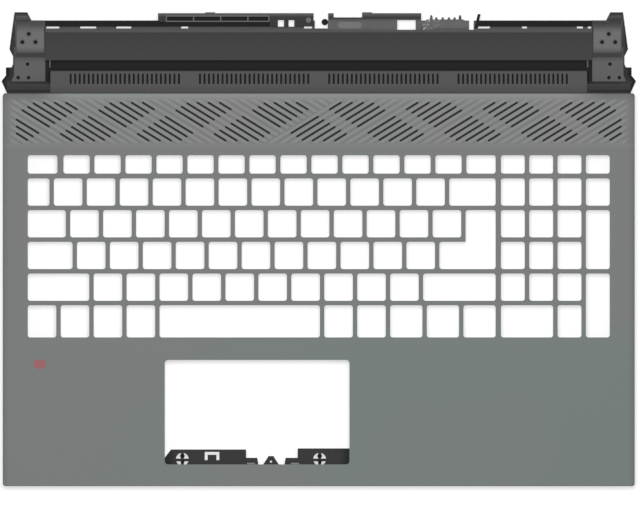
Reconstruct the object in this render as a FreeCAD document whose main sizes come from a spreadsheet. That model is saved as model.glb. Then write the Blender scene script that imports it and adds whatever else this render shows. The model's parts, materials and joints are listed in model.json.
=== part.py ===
import FreeCAD, Part

import math
import os
import re

import Sketcher

# The top case of a 15-inch laptop: a grey deck with its key lattice, slanted vents and touchpad
# window, and the dark rear shelf, hinge towers, rails and port frames behind it.
# X runs along the front edge, +Y to the hinges, Z up. The origin is under the middle of the case,
# on the plane that its side walls stand on.

# Driving dimensions, in millimetres and degrees
SIZES = {
    # deck plate and its side walls
    "deck_top": 13.0,
    "deck_wall": 1.8,
    "side_wall": 1.6,
    "deck_corner": 1.5,
    "deck_bevel": 0.5,
    "cutter_spare": 0.6,
    "side_margin": 14.04,
    "front_margin": 12.2,
    "palm_gap": 12.7,
    "vent_margin": 7.95,
    "vent_band": 21.9,
    "rear_margin": 5.0,
    # key openings
    "key_width": 16.05,
    "key_web": 2.5,
    "key_depth": 15.3,
    "row_web": 2.55,
    "key_corner": 1.4,
    "number_key_width": 12.2,
    "backspace_width": 26.1,
    "tab_width": 21.4,
    "caps_width": 25.2,
    "shift_width": 34.6,
    "space_depth": 18.1,
    "escape_width": 16.7,
    "escape_gap": 3.4,
    "function_width": 14.75,
    "function_web": 2.7,
    "function_depth": 10.3,
    "function_gap": 2.75,
    "block_gap": 3.0,
    "pad_key_width": 13.4,
    "pad_web": 2.55,
    # touchpad window
    "window_width": 104.0,
    "window_depth": 58.8,
    "window_offset": 34.7,
    "window_corner": 2.0,
    # slanted vents
    "vent_angle": 31.6,
    "vent_length": 18.6,
    "vent_width": 1.1,
    "vent_step": 3.7,
    "vent_break": 6.8,
    "vent_period": 43.3,
    "vent_side_gap": 7.3,
    "vent_shift": 1.3,
    "mesh_thickness": 0.4,
    "mesh_margin": 1.0,
    "mesh_joint": 0.1,
    "shelf_mesh_inset": 4.0,
    # underside of the deck
    "rib_thickness": 1.2,
    "rib_height": 3.0,
    "rib_stop": 4.0,
    "frame_gap": 1.2,
    "stake_radius": 0.9,
    "stake_height": 2.2,
    "stake_inset": 8.0,
    "stake_line": 4.6,
    "boss_radius": 3.0,
    "boss_foot": 1.0,
    "board_boss_radius": 2.5,
    "board_boss_height": 5.2,
    "board_boss_pitch": 60.0,
    "board_boss_gap": 4.0,
    "insert_radius": 1.8,
    "insert_bore": 1.05,
    "insert_depth": 4.0,
    "cover_inset": 7.8,
    "cover_front": 6.7,
    "cover_front_lift": 2.0,
    "cover_palm_reach": 94.0,
    "cover_key_reach": 154.0,
    "cover_rear_gap": 3.6,
    "cover_front_reach": 105.0,
    "cover_front_middle": 30.0,
    # rear shelf
    "shelf_top": 12.2,
    "shelf_wall": 1.6,
    "shelf_bevel": 0.4,
    "shelf_depth": 12.9,
    "shelf_inset": 26.8,
    "channel_width": 5.7,
    "channel_floor": 2.7,
    "panel_depth": 15.7,
    "panel_front_height": 7.5,
    "panel_rear_height": 9.0,
    "panel_inset": 23.8,
    "lip_height": 9.6,
    "lip_depth": 2.3,
    "lip_overhang": 0.75,
    "ledge_top": 4.4,
    "ledge_wall": 1.4,
    "ledge_depth": 5.25,
    "shelf_round": 1.2,
    "flange_width": 3.5,
    "flange_wall": 1.4,
    "shelf_slot_width": 1.15,
    "shelf_slot_length": 6.0,
    "shelf_slot_pitch": 2.54,
    "shelf_slot_rear": 1.7,
    "shelf_group_pitch": 72.8,
    # hinge towers, measured in from the deck's side edge
    "tower_depth": 45.8,
    "tower_foot_in": 2.3,
    "tower_bulge": 0.9,
    "tower_bulge_at": 7.0,
    "tower_cheek_in": 1.6,
    "tower_cheek_front": 10.2,
    "tower_cheek_rear": 14.7,
    "tower_notch_in": 4.3,
    "tower_notch_at": 13.8,
    "tower_waist_in": 5.6,
    "tower_waist_front": 16.6,
    "tower_waist_rear": 21.0,
    "tower_shoulder_in": 3.6,
    "tower_shoulder_at": 24.9,
    "tower_peak_out": 6.4,
    "tower_peak_in": 13.6,
    "tower_tail_in": 16.0,
    "tower_tail_gap": 5.7,
    "tower_tail_slope": 1.1,
    "tower_base": 2.5,
    "tower_draft": 1.4,
    "tower_peak_slope": 2.0,
    "tower_front_lip": 0.8,
    "tower_tail_step": 2.7,
    "tower_tab_gap": 1.5,
    "tower_rim_slope": 1.6,
    "lower_pad_height": 6.5,
    "lower_pad_out": 6.2,
    "lower_pad_front": 6.8,
    "upper_pad_height": 9.0,
    "upper_pad_out": 7.2,
    "upper_pad_front": 21.6,
    "tower_step": 2.6,
    "tower_rim": 12.4,
    "tower_taper": 0.4,
    "tower_notch_shift": 1.0,
    "pad_round": 1.2,
    "hollow_inset": 0.6,
    "tower_wall": 1.8,
    "hinge_boss_radius": 2.9,
    "upright_width": 0.8,
    "upright_depth": 4.0,
    "upright_height": 4.5,
    # rear rails and port frames
    "rail_depth": 3.4,
    "rail_height": 3.6,
    "rail_length": 64.7,
    "rail_groove": 0.8,
    "rail_groove_at": 1.2,
    "rail_groove_end": 2.0,
    "fin_width": 1.6,
    "fin_lean": 1.8,
    "fin_foot": 0.7,
    "fin_overlap": 0.2,
    "slit_width": 1.1,
    "port_height": 5.0,
    "port_inset": 0.6,
    "port_tab": 0.5,
    "port_window_rear": 3.6,
    "port_clearance": 0.1,
    "left_port_start": 90.5,
    "left_port_stop": 2.9,
    "left_port_step": 2.2,
    "left_port_tab_start": 64.0,
    "left_port_tab_stop": 58.4,
    "ladder_start": 85.8,
    "ladder_pitch": 15.3,
    "ladder_stop": 28.1,
    "ladder_front": 3.2,
    "ladder_rear": 5.6,
    "ladder_hollow": 3.4,
    "ladder_rib": 0.6,
    "ladder_rise": 0.3,
    "post_inset": 2.9,
    "post_radius": 1.5,
    "centre_port_start": 5.3,
    "centre_port_lug": 8.4,
    "centre_port_low_end": 24.4,
    "centre_port_tab_stop": 30.0,
    "centre_port_stop": 57.7,
    "centre_port_low": 2.4,
    "centre_port_drop": 0.8,
    "dish_start": 12.5,
    "dish_stop": 22.5,
    "dish_radius": 1.9,
    "dish_depth": 1.4,
    "knob_radius": 1.8,
    "knob_height": 3.4,
    "knob_foot": 0.6,
    "arm_width": 1.6,
    "finger_start": 58.0,
    "finger_stop": 84.5,
    "finger_sheet": 0.6,
    "finger_reach": 4.0,
    "finger_slope": 3.2,
    "finger_tooth": 2.0,
    "finger_tip": 0.9,
    "tall_tooth": 2.4,
    "low_tooth": 1.2,
    "crest_height": 3.0,
    "crest_width": 0.8,
    # touchpad bracket, its stations measured from the window's left front corner
    "bracket_sheet": 1.0,
    "bracket_hidden": 6.2,
    "bracket_lap": 1.5,
    "bracket_slant": 5.0,
    "bracket_slant_foot": 1.8,
    "bracket_left_rise": 8.4,
    "bracket_right_rise": 9.0,
    "bracket_low_rise": 3.7,
    "bracket_inlet": 0.8,
    "bracket_left_stop": 45.8,
    "bracket_left_foot": 52.1,
    "bracket_right_foot": 68.0,
    "bracket_right_start": 74.8,
    "bracket_draft": 0.7,
    "arch_middle": 59.8,
    "arch_foot": 10.0,
    "arch_shoulder": 5.6,
    "arch_top": 2.8,
    "arch_rise": 4.7,
    "arch_bore": 0.65,
    "arch_bore_drop": 0.8,
    "eye_rise": 2.9,
    "eye_radius": 3.6,
    "eye_bar": 1.6,
    "eye_bar_drop": 0.4,
    "eye_lap": 0.2,
    "eye_post": 1.7,
    "eye_stud": 1.3,
    "tongue_start": 22.5,
    "tongue_width": 8.2,
    "tongue_slit": 1.6,
    "tongue_foot": 2.4,
    "tongue_rise": 7.0,
    "foam_width": 4.6,
    "foam_depth": 0.9,
    "foam_height": 0.3,
    # small screws
    "screw_radius": 0.8,
    "screw_head_radius": 1.4,
    "screw_head": 0.7,
    "screw_grip": 1.2,
    "screw_clearance": 0.1,
}

# Counts that more than one piece follows
VENT_SLOTS = 6
VENT_GROUPS = 4
EDGE_VENT_SLOTS = 3
SHELF_SLOTS = 25
SHELF_GROUPS = 4
STAKES = 12
LADDER_BAYS = 4

# Places worked out from the sizes, in the order in which they depend on each other
PLACES = {
    "key_pitch": "key_width + key_web",
    "row_pitch": "key_depth + row_web",
    "function_pitch": "function_width + function_web",
    "pad_pitch": "pad_key_width + pad_web",
    "main_width": "number_key_width + key_web + 12 * key_pitch + backspace_width",
    "field_width": "main_width + block_gap + 3 * pad_pitch + pad_key_width",
    "field_left": "-field_width / 2",
    "main_right": "field_left + main_width",
    "pad_left": "main_right + block_gap",
    "deck_half": "field_width / 2 + side_margin",
    "field_depth": "space_depth + 4 * row_pitch + function_gap + function_depth",
    "deck_depth":
        "front_margin + window_depth + palm_gap + field_depth + vent_margin + vent_band + rear_margin",
    "deck_front": "-(deck_depth + tower_depth) / 2",
    "deck_rear": "deck_front + deck_depth",
    "deck_under": "deck_top - deck_wall",
    "window_front": "deck_front + front_margin",
    "window_rear": "window_front + window_depth",
    "window_left": "-window_offset - window_width / 2",
    "space_row": "window_rear + palm_gap",
    "shift_row": "space_row + space_depth + row_web",
    "caps_row": "shift_row + row_pitch",
    "tab_row": "caps_row + row_pitch",
    "number_row": "tab_row + row_pitch",
    "function_row": "number_row + key_depth + function_gap",
    "field_rear": "function_row + function_depth",
    "vent_front": "field_rear + vent_margin",
    "vent_rear": "vent_front + vent_band",
    "vent_edge": "deck_half - vent_side_gap",
    "vent_radius": "vent_width / 2",
    "slant_x": "cos(vent_angle)",
    "slant_y": "sin(vent_angle)",
    "vent_line_y": "vent_front + vent_band / 2 + vent_break * slant_y / 2 + vent_shift",
    "shelf_half": "deck_half - shelf_inset",
    "panel_half": "deck_half - panel_inset",
    "shelf_under": "shelf_top - shelf_wall",
    "shelf_rear": "deck_rear + shelf_depth",
    "panel_front": "shelf_rear + channel_width",
    "panel_rear": "panel_front + panel_depth",
    "lip_rear": "panel_rear + lip_depth",
    "lip_wall_rear": "lip_rear - lip_overhang",
    "ledge_rear": "lip_wall_rear + ledge_depth",
    "rail_front": "lip_rear + slit_width",
    "tower_rear": "deck_rear + tower_depth",
    "upper_pad_rear": "tower_depth - tower_tail_gap",
    "tower_tail_at": "upper_pad_rear + tower_tail_slope",
    "port_rear": "tower_rear - port_inset",
    "port_mid": "rail_front + port_window_rear",
    "rail_inner": "panel_half - rail_length",
    "screw_line": "deck_rear - flange_width / 2",
    "ledge_screw_line": "rail_front + rail_depth / 2",
    "bracket_under": "deck_under - bracket_sheet",
}

doc = FreeCAD.newDocument("PalmRest")


def make_sheet(name, cells):
    sheet = doc.addObject("Spreadsheet::Sheet", name)
    for row, (alias, content) in enumerate(cells.items(), start=1):
        sheet.set(f"A{row}", alias)
        sheet.set(f"B{row}", content)
        sheet.setAlias(f"B{row}", alias)
    doc.recompute()
    return sheet


def bound(text):
    """Puts the sheet's name before each size or place in an expression."""

    def with_sheet(match):
        word = match.group(0)
        if word in SIZES:
            return "Sizes." + word
        if word in PLACES:
            return "Places." + word
        return word

    return re.sub(r"[a-z][a-z_]*", with_sheet, str(text))


make_sheet("Sizes", {name: str(size) for name, size in SIZES.items()})
places = make_sheet("Places", {name: "=" + bound(text) for name, text in PLACES.items()})


def value(text):
    return float(places.evalExpression(bound(text)))


def new_body(label):
    body = doc.addObject("PartDesign::Body", label)
    body.Label = label
    return body


def origin_part(body, role):
    return next(item for item in body.Origin.OriginFeatures if item.Role == role)


def new_sketch(body, name, offset, role="XY_Plane"):
    """A sketch parallel to one of the body's own planes, at an offset along its normal."""
    sketch = body.newObject("Sketcher::SketchObject", name)
    sketch.AttachmentSupport = [(origin_part(body, role), "")]
    sketch.MapMode = "FlatFace"
    sketch.setExpression("AttachmentOffset.Base.z", bound(offset))
    return sketch


def drive(sketch, kind, arguments, text):
    """Adds a dimension to the sketch and ties it to the sheet."""
    index = sketch.addConstraint(Sketcher.Constraint(kind, *arguments, value(text)))
    sketch.setExpression(f"Constraints[{index}]", bound(text))


def polygon(sketch, corners):
    """A closed outline whose every corner is placed from the origin."""
    first = sketch.GeometryCount
    count = len(corners)
    points = [FreeCAD.Vector(value(x), value(y), 0) for x, y in corners]
    sketch.addGeometry([Part.LineSegment(points[i], points[(i + 1) % count]) for i in range(count)])
    sketch.addConstraint(
        [Sketcher.Constraint("Coincident", first + i, 2, first + (i + 1) % count, 1) for i in range(count)]
    )
    for i, (x, y) in enumerate(corners):
        drive(sketch, "DistanceX", (-1, 1, first + i, 1), x)
        drive(sketch, "DistanceY", (-1, 1, first + i, 1), y)


def rectangle(sketch, left, front, right, rear):
    polygon(sketch, [(left, front), (right, front), (right, rear), (left, rear)])


def arc(x, y, radius, start, sweep=90):
    circle = Part.Circle(FreeCAD.Vector(x, y, 0), FreeCAD.Vector(0, 0, 1), radius)
    return Part.ArcOfCircle(circle, math.radians(start), math.radians(start + sweep))


def rounded_rectangle(sketch, left, front, width, depth, radius):
    """Four straight sides joined by four equal tangent arcs."""
    x, y = value(left), value(front)
    w, d, r = value(width), value(depth), value(radius)
    first = sketch.GeometryCount
    far_x, far_y = x + w, y + d
    line = Part.LineSegment
    point = FreeCAD.Vector
    sketch.addGeometry(
        [
            line(point(x + r, y, 0), point(far_x - r, y, 0)),
            arc(far_x - r, y + r, r, 270),
            line(point(far_x, y + r, 0), point(far_x, far_y - r, 0)),
            arc(far_x - r, far_y - r, r, 0),
            line(point(far_x - r, far_y, 0), point(x + r, far_y, 0)),
            arc(x + r, far_y - r, r, 90),
            line(point(x, far_y - r, 0), point(x, y + r, 0)),
            arc(x + r, y + r, r, 180),
        ]
    )
    rules = []
    for side in range(4):
        straight, corner, following = (first + (2 * side + step) % 8 for step in range(3))
        rules.append(Sketcher.Constraint("Tangent", straight, 2, corner, 1))
        rules.append(Sketcher.Constraint("Tangent", corner, 2, following, 1))
        rules.append(Sketcher.Constraint("Vertical" if side % 2 else "Horizontal", straight))
        if side:
            rules.append(Sketcher.Constraint("Equal", first + 1, corner))
    sketch.addConstraint(rules)
    drive(sketch, "Radius", (first + 1,), radius)
    drive(sketch, "DistanceX", (-1, 1, first + 6, 1), left)
    drive(sketch, "DistanceY", (-1, 1, first, 1), front)
    drive(sketch, "DistanceX", (first + 6, 1, first + 2, 1), width)
    drive(sketch, "DistanceY", (first, 1, first + 4, 1), depth)


def slot(sketch, start, end, radius):
    """A round-ended slot between the centres of its two end arcs."""
    ax, ay = value(start[0]), value(start[1])
    bx, by = value(end[0]), value(end[1])
    r = value(radius)
    turn = math.degrees(math.atan2(by - ay, bx - ax))
    off = FreeCAD.Vector(-r * math.sin(math.radians(turn)), r * math.cos(math.radians(turn)), 0)
    a, b = FreeCAD.Vector(ax, ay, 0), FreeCAD.Vector(bx, by, 0)
    first = sketch.GeometryCount
    sketch.addGeometry(
        [
            Part.LineSegment(a - off, b - off),
            arc(bx, by, r, turn - 90, 180),
            Part.LineSegment(b + off, a + off),
            arc(ax, ay, r, turn + 90, 180),
        ]
    )
    sketch.addConstraint(
        [Sketcher.Constraint("Tangent", first + i, 2, first + (i + 1) % 4, 1) for i in range(4)]
        + [Sketcher.Constraint("Equal", first + 1, first + 3)]
    )
    drive(sketch, "Radius", (first + 1,), radius)
    for part, (x, y) in ((first + 3, start), (first + 1, end)):
        drive(sketch, "DistanceX", (-1, 1, part, 3), x)
        drive(sketch, "DistanceY", (-1, 1, part, 3), y)


def circle(sketch, x, y, radius):
    centre = FreeCAD.Vector(value(x), value(y), 0)
    index = sketch.addGeometry(Part.Circle(centre, FreeCAD.Vector(0, 0, 1), value(radius)))
    drive(sketch, "Radius", (index,), radius)
    drive(sketch, "DistanceX", (-1, 1, index, 3), x)
    drive(sketch, "DistanceY", (-1, 1, index, 3), y)


def pad(body, sketch, length, midplane=False):
    feature = body.newObject("PartDesign::Pad", sketch.Name + "_pad")
    feature.Profile = sketch
    feature.Midplane = midplane
    feature.setExpression("Length", bound(length))
    return feature


def pocket(body, sketch, depth=None, upward=False):
    """Cuts down from the sketch, or up from it, to a depth or right through."""
    feature = body.newObject("PartDesign::Pocket", sketch.Name + "_pocket")
    feature.Profile = sketch
    feature.Reversed = upward
    if depth is None:
        feature.Type = "ThroughAll"
    else:
        feature.setExpression("Length", bound(depth))
    return feature


def spread(pattern, body, axis, count, pitch):
    """Sets a linear pattern going along one of the body's axes."""
    pattern.Direction = (origin_part(body, axis), [""])
    pattern.Occurrences = count
    pattern.setExpression("Length", bound(f"({pitch}) * {count - 1}"))


def repeat(body, feature, count, pitch, axis="X_Axis"):
    pattern = body.newObject("PartDesign::LinearPattern", feature.Name + "_row")
    pattern.Originals = [feature]
    spread(pattern, body, axis, count, pitch)
    body.Tip = pattern
    return pattern


def repeat_and_mirror(body, feature, count, pitch):
    """A row of copies along +X, and the same row mirrored to the other half."""
    both = body.newObject("PartDesign::MultiTransform", feature.Name + "_both_halves")
    both.Originals = [feature]
    row = doc.addObject("PartDesign::LinearPattern", feature.Name + "_row")
    body.addObject(row)
    spread(row, body, "X_Axis", count, pitch)
    mirror = doc.addObject("PartDesign::Mirrored", feature.Name + "_mirror")
    body.addObject(mirror)
    mirror.MirrorPlane = (origin_part(body, "YZ_Plane"), [""])
    both.Transformations = [row, mirror] if count > 1 else [mirror]
    body.Tip = both
    return both


def work_edges(body, kind, size, wanted):
    """Bevels or rounds the edges of the last feature that the test picks by their place."""
    doc.recompute()
    base = body.Tip
    names = [f"Edge{i}" for i, edge in enumerate(base.Shape.Edges, start=1) if wanted(edge)]
    feature = body.newObject("PartDesign::" + kind, f"{base.Name}_{kind.lower()}")
    feature.Base = (base, names)
    feature.setExpression("Size" if kind == "Chamfer" else "Radius", bound(size))
    return feature


def chamfer(body, size, wanted):
    return work_edges(body, "Chamfer", size, wanted)


def fillet(body, radius, wanted):
    return work_edges(body, "Fillet", radius, wanted)


def level(edge, height):
    """Says whether an edge lies flat at a height."""
    box = edge.BoundBox
    return abs(box.ZMin - height) < 1e-6 and abs(box.ZMax - height) < 1e-6


# Key openings: name, left edge, front edge, width, depth, how many side by side, pitch
KEY_OPENINGS = [
    ("escape", "field_left", "function_row", "escape_width", "function_depth", 1, ""),
    ("function_keys", "field_left + escape_width + escape_gap", "function_row",
     "function_width", "function_depth", 13, "function_pitch"),
    ("delete", "field_left + escape_width + escape_gap + 13 * function_pitch", "function_row",
     "main_right - field_left - escape_width - escape_gap - 13 * function_pitch",
     "function_depth", 1, ""),
    ("pad_top_row", "pad_left", "function_row", "pad_key_width", "function_depth", 4, "pad_pitch"),
    ("first_number", "field_left", "number_row", "number_key_width", "key_depth", 1, ""),
    ("number_keys", "field_left + number_key_width + key_web", "number_row",
     "key_width", "key_depth", 12, "key_pitch"),
    ("backspace", "main_right - backspace_width", "number_row", "backspace_width", "key_depth", 1, ""),
    ("pad_number_row", "pad_left", "number_row", "pad_key_width", "key_depth", 4, "pad_pitch"),
    ("tab", "field_left", "tab_row", "tab_width", "key_depth", 1, ""),
    ("tab_row_keys", "field_left + tab_width + key_web", "tab_row",
     "key_width", "key_depth", 12, "key_pitch"),
    ("enter_upright", "field_left + tab_width + key_web + 12 * key_pitch", "caps_row",
     "main_right - field_left - tab_width - key_web - 12 * key_pitch",
     "row_pitch + key_depth", 1, ""),
    ("pad_tab_row", "pad_left", "tab_row", "pad_key_width", "key_depth", 3, "pad_pitch"),
    ("caps", "field_left", "caps_row", "caps_width", "key_depth", 1, ""),
    ("caps_row_keys", "field_left + caps_width + key_web", "caps_row",
     "key_width", "key_depth", 11, "key_pitch"),
    ("enter_foot", "field_left + caps_width + key_web + 11 * key_pitch", "caps_row",
     "main_right - field_left - caps_width - key_web - 11 * key_pitch", "key_depth", 1, ""),
    ("pad_caps_row", "pad_left", "caps_row", "pad_key_width", "key_depth", 3, "pad_pitch"),
    ("pad_plus", "pad_left + 3 * pad_pitch", "caps_row",
     "pad_key_width", "row_pitch + key_depth", 1, ""),
    ("left_shift", "field_left", "shift_row", "shift_width", "key_depth", 1, ""),
    ("shift_row_keys", "field_left + shift_width + key_web", "shift_row",
     "key_width", "key_depth", 10, "key_pitch"),
    ("right_shift", "field_left + shift_width + key_web + 10 * key_pitch", "shift_row",
     "main_right - field_left - shift_width - key_web - 10 * key_pitch", "key_depth", 1, ""),
    ("pad_shift_row", "pad_left", "shift_row", "pad_key_width", "key_depth", 3, "pad_pitch"),
    ("pad_enter", "pad_left + 3 * pad_pitch", "space_row",
     "pad_key_width", "space_depth + row_pitch", 1, ""),
    ("left_space_row", "field_left", "space_row", "key_width", "space_depth", 4, "key_pitch"),
    ("space_bar", "field_left + 4 * key_pitch", "space_row",
     "5 * key_pitch - key_web", "space_depth", 1, ""),
    ("right_space_row", "field_left + 9 * key_pitch", "space_row",
     "key_width", "space_depth", 2, "key_pitch"),
    ("arrow_keys", "field_left + 11 * key_pitch", "space_row",
     "(main_right - field_left - 11 * key_pitch + key_web) / 3 - key_web", "space_depth", 3,
     "(main_right - field_left - 11 * key_pitch + key_web) / 3"),
    ("pad_zero", "pad_left", "space_row", "pad_pitch + pad_key_width", "space_depth", 1, ""),
    ("pad_point", "pad_left + 2 * pad_pitch", "space_row", "pad_key_width", "space_depth", 1, ""),
]

# Screw places along each joint, as distances from the middle
SHELF_SCREWS = [f"shelf_half - {inset}" for inset in (11, 51, 91, 131)]
TOWER_SCREWS = [f"deck_half - {inset}" for inset in (8, 20)]
RAIL_SCREWS = [f"panel_half - {inset}" for inset in (9, 36, 57)]
LEFT_PORT_SCREWS = ["-80", "-46"]
CENTRE_PORT_SCREWS = ["14", "34"]
BRACKET_SCREWS = [4, 38, 66, 100]

# Ribs under the palm rest, by their left faces
PALM_RIBS = [-140, -115, 45, 75, 105, 135]

# Bosses for the bottom cover and for the board
COVER_BOSSES = [
    (f"{side} * (deck_half - cover_inset)", y)
    for side in (-1, 1)
    for y in (
        "deck_front + cover_inset + cover_front_lift", "deck_front + cover_palm_reach",
        "deck_front + cover_key_reach", "field_rear + cover_rear_gap",
    )
] + [
    (x, "deck_front + cover_front")
    for x in ("-cover_front_reach", "cover_front_middle", "cover_front_reach")
]
BOARD_BOSSES = [(f"{step} * board_boss_pitch", "field_rear + board_boss_gap") for step in range(-2, 3)]

# Hinge screw holes, as distances in from the deck's side edge and behind its rear edge
UPPER_HINGE_HOLES = [
    ("14.5", "upper_pad_rear - 6.6"), ("10.9", "upper_pad_rear - 11.2"), ("18.3", "upper_pad_rear - 11.2"),
]
LOWER_HINGE_HOLES = [("13.8", "16.5"), ("8.5", "8.9"), ("14.4", "8.9")]

# Stretches along X from the middle: the slits between lip and rail, and the notches in the lip
REAR_SLITS = [
    ("-panel_half + 0.6", "-146.2"), ("-134.4", "-125.4"), ("-114.1", "-105.7"), ("-77.5", "-73.6"),
    ("-8.3", "-3.8"), ("rail_inner + 0.4", "96.4"), ("114.5", "117.3"), ("145.4", "148.8"),
    ("151.6", "panel_half - 0.6"),
]
LIP_NOTCHES = [
    ("-125.0", "-118.7"), ("-84.0", "-78.1"), ("-43.7", "-37.6"), ("-3.2", "3.5"),
    ("36.8", "43.9"), ("77.3", "84.5"),
]
NOTCH_DEPTH = 1.2
NOTCH_WIDTH = 0.7

# Teeth of the earthing comb, and the eyes and foam pads of the touchpad bracket
TALL_TEETH = ["63.4", "79.6"]
LOW_TEETH = ["66.2", "69.8", "73.3", "76.5"]
BRACKET_EYES = ["9.9", "87.2"]
FOAM_PADS = ["46.2", "71.0"]

# Gaps and windows through the rear ledge, from left to right; the bay is where the lip is cut away
LEFT_PORT_WINDOWS = [("-23.0", "-19.6"), ("-17.0", "-13.8")]
CENTRE_PORT_WINDOW = ("44.2", "54.6")
PORT_GAP = ("-left_port_stop + 0.7", "centre_port_start - 0.2")
FINGER_GAP = ("finger_stop + 0.2", "rail_inner - 2.1")


def deck_screw_holes():
    """The blind holes under the deck's rear edge, shared by the shelf and the towers."""
    places = SHELF_SCREWS + TOWER_SCREWS
    return [(f"{side} * ({x})", "screw_line") for side in (-1, 1) for x in places]


def bracket_screw_places():
    return [(f"window_left + {x}", "window_front - bracket_hidden / 2") for x in BRACKET_SCREWS]


def along(x, y, distance, lean=1):
    """The point at a distance down the slant from a point; lean -1 slants the other way."""
    return (f"({x}) + {lean} * ({distance}) * slant_x", f"({y}) - ({distance}) * slant_y")


def vent_groups(lean=1, left_edge=False):
    """The slots of one lower group: each hangs from the slanted line that starts at the middle of
    the band, and the front line cuts the last ones short."""
    slots = []
    for number in range(EDGE_VENT_SLOTS if left_edge else VENT_SLOTS):
        period = f"{VENT_GROUPS} * vent_period" if left_edge else f"{VENT_GROUPS - 1} * vent_period"
        top_x = f"-({period}) - {number} * vent_step * slant_x"
        if lean < 0:
            top_x = f"{number} * vent_step * slant_x"
        top_y = f"vent_line_y - {number} * vent_step * slant_y"
        reach = f"min(vent_length; ({top_y} - vent_front) / slant_y)"
        start = along(top_x, top_y, "vent_radius", lean)
        end = along(top_x, top_y, f"{reach} - vent_radius", lean)
        if left_edge:
            fall = f"(vent_edge + ({top_x})) * slant_y / slant_x"
            start = ("-vent_edge + vent_radius", f"({top_y}) + {fall} - vent_radius * slant_y / slant_x")
        slots.append((start, end))
    return slots


def upper_vent_group():
    """The slots of the first upper group, on the same lines as the lower one's, cut off behind."""
    slots = []
    for number in range(VENT_SLOTS):
        back = VENT_SLOTS - 1 - number
        low_x = f"-{VENT_GROUPS - 1} * vent_period - vent_break * slant_x - {back} * vent_step * slant_x"
        low_y = f"vent_line_y + vent_break * slant_y - {back} * vent_step * slant_y"
        reach = f"min(vent_length; (vent_rear - ({low_y})) / slant_y)"
        start = along(low_x, low_y, f"-({reach} - vent_radius)")
        end = along(low_x, low_y, "-vent_radius")
        slots.append((start, end))
    return slots


def opening_tool(name):
    """A body whose solids are cut out of the deck plate, with the sketch that starts it."""
    body = new_body(name + "_cutter")
    return body, new_sketch(body, name, "deck_under - cutter_spare")


def make_opening_tools():
    """Every opening through the deck plate: the key runs, the window and the slanted vents."""
    depth_through = "deck_wall + 2 * cutter_spare"
    tools = []
    for name, left, front, width, depth, count, pitch in KEY_OPENINGS:
        body, outline = opening_tool(name)
        rounded_rectangle(outline, left, front, width, depth, "key_corner")
        block = pad(body, outline, depth_through)
        if count > 1:
            repeat(body, block, count, pitch)
        tools.append(body)

    body, outline = opening_tool("touchpad_window")
    rounded_rectangle(outline, "window_left", "window_front", "window_width", "window_depth", "window_corner")
    pad(body, outline, depth_through)
    tools.append(body)

    for name, slots, copies in (
        ("upper_vents", upper_vent_group(), VENT_GROUPS),
        ("lower_vents", vent_groups(), VENT_GROUPS - 1),
        ("edge_vents", vent_groups(left_edge=True), 1),
        ("middle_vents", vent_groups(lean=-1), 0),
    ):
        body, outline = opening_tool(name)
        for start, end in slots:
            slot(outline, start, end, "vent_radius")
        block = pad(body, outline, depth_through)
        if copies:
            repeat_and_mirror(body, block, copies, "vent_period")
        tools.append(body)
    return tools


def make_deck():
    body = new_body("deck_cover")
    plate = new_sketch(body, "deck_plate", "deck_under")
    rounded_rectangle(plate, "-deck_half", "deck_front", "2 * deck_half", "deck_depth", "deck_corner")
    pad(body, plate, "deck_wall")
    top = value("deck_top")
    chamfer(body, "deck_bevel", lambda edge: level(edge, top))

    walls = new_sketch(body, "side_walls", "0")
    rounded_rectangle(walls, "-deck_half", "deck_front", "2 * deck_half", "deck_depth", "deck_corner")
    pad(body, walls, "deck_under")
    inside = "deck_front + side_wall"
    hollow = new_sketch(body, "deck_hollow", "0")
    rectangle(hollow, "side_wall - deck_half", inside, "deck_half - side_wall", "deck_rear + cutter_spare")
    pocket(body, hollow, "deck_under", upward=True)

    ribs = new_sketch(body, "palm_ribs", "deck_under - rib_height")
    for x in PALM_RIBS:
        rectangle(ribs, x, inside, f"{x} + rib_thickness", "space_row - rib_stop")
    pad(body, ribs, "rib_height")

    frame = new_sketch(body, "keyboard_frame", "deck_under - rib_height")
    for margin in ("frame_gap + rib_thickness", "frame_gap"):
        rectangle(frame, f"field_left - ({margin})", f"space_row - ({margin})",
                  f"-field_left + {margin}", f"field_rear + {margin}")
    pad(body, frame, "rib_height")

    bosses = new_sketch(body, "cover_bosses", "boss_foot")
    for x, y in COVER_BOSSES:
        circle(bosses, x, y, "boss_radius")
    pad(body, bosses, "deck_under - boss_foot")
    board = new_sketch(body, "board_bosses", "deck_under - board_boss_height")
    for x, y in BOARD_BOSSES:
        circle(board, x, y, "board_boss_radius")
    pad(body, board, "board_boss_height")

    stake = new_sketch(body, "keyboard_stake", "deck_under - stake_height")
    circle(stake, "field_left + stake_inset", "space_row - stake_line", "stake_radius")
    repeat(body, pad(body, stake, "stake_height"), STAKES, f"(field_width - 2 * stake_inset) / {STAKES - 1}")

    seats = new_sketch(body, "cover_insert_seats", "boss_foot")
    for x, y in COVER_BOSSES:
        circle(seats, x, y, "insert_radius")
    pocket(body, seats, "insert_depth", upward=True)
    board_seats = new_sketch(body, "board_insert_seats", "deck_under - board_boss_height")
    for x, y in BOARD_BOSSES:
        circle(board_seats, x, y, "insert_radius")
    pocket(body, board_seats, "insert_depth", upward=True)
    pilots = new_sketch(body, "screw_pilots", "deck_under")
    for x, y in deck_screw_holes() + bracket_screw_places():
        circle(pilots, x, y, "screw_radius")
    pocket(body, pilots, "screw_grip", upward=True)

    tools = make_opening_tools()
    openings = body.newObject("PartDesign::Boolean", "deck_openings")
    openings.Type = "Cut"
    openings.Refine = False
    openings.setObjects(tools)
    body.Tip = openings
    return body


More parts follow.
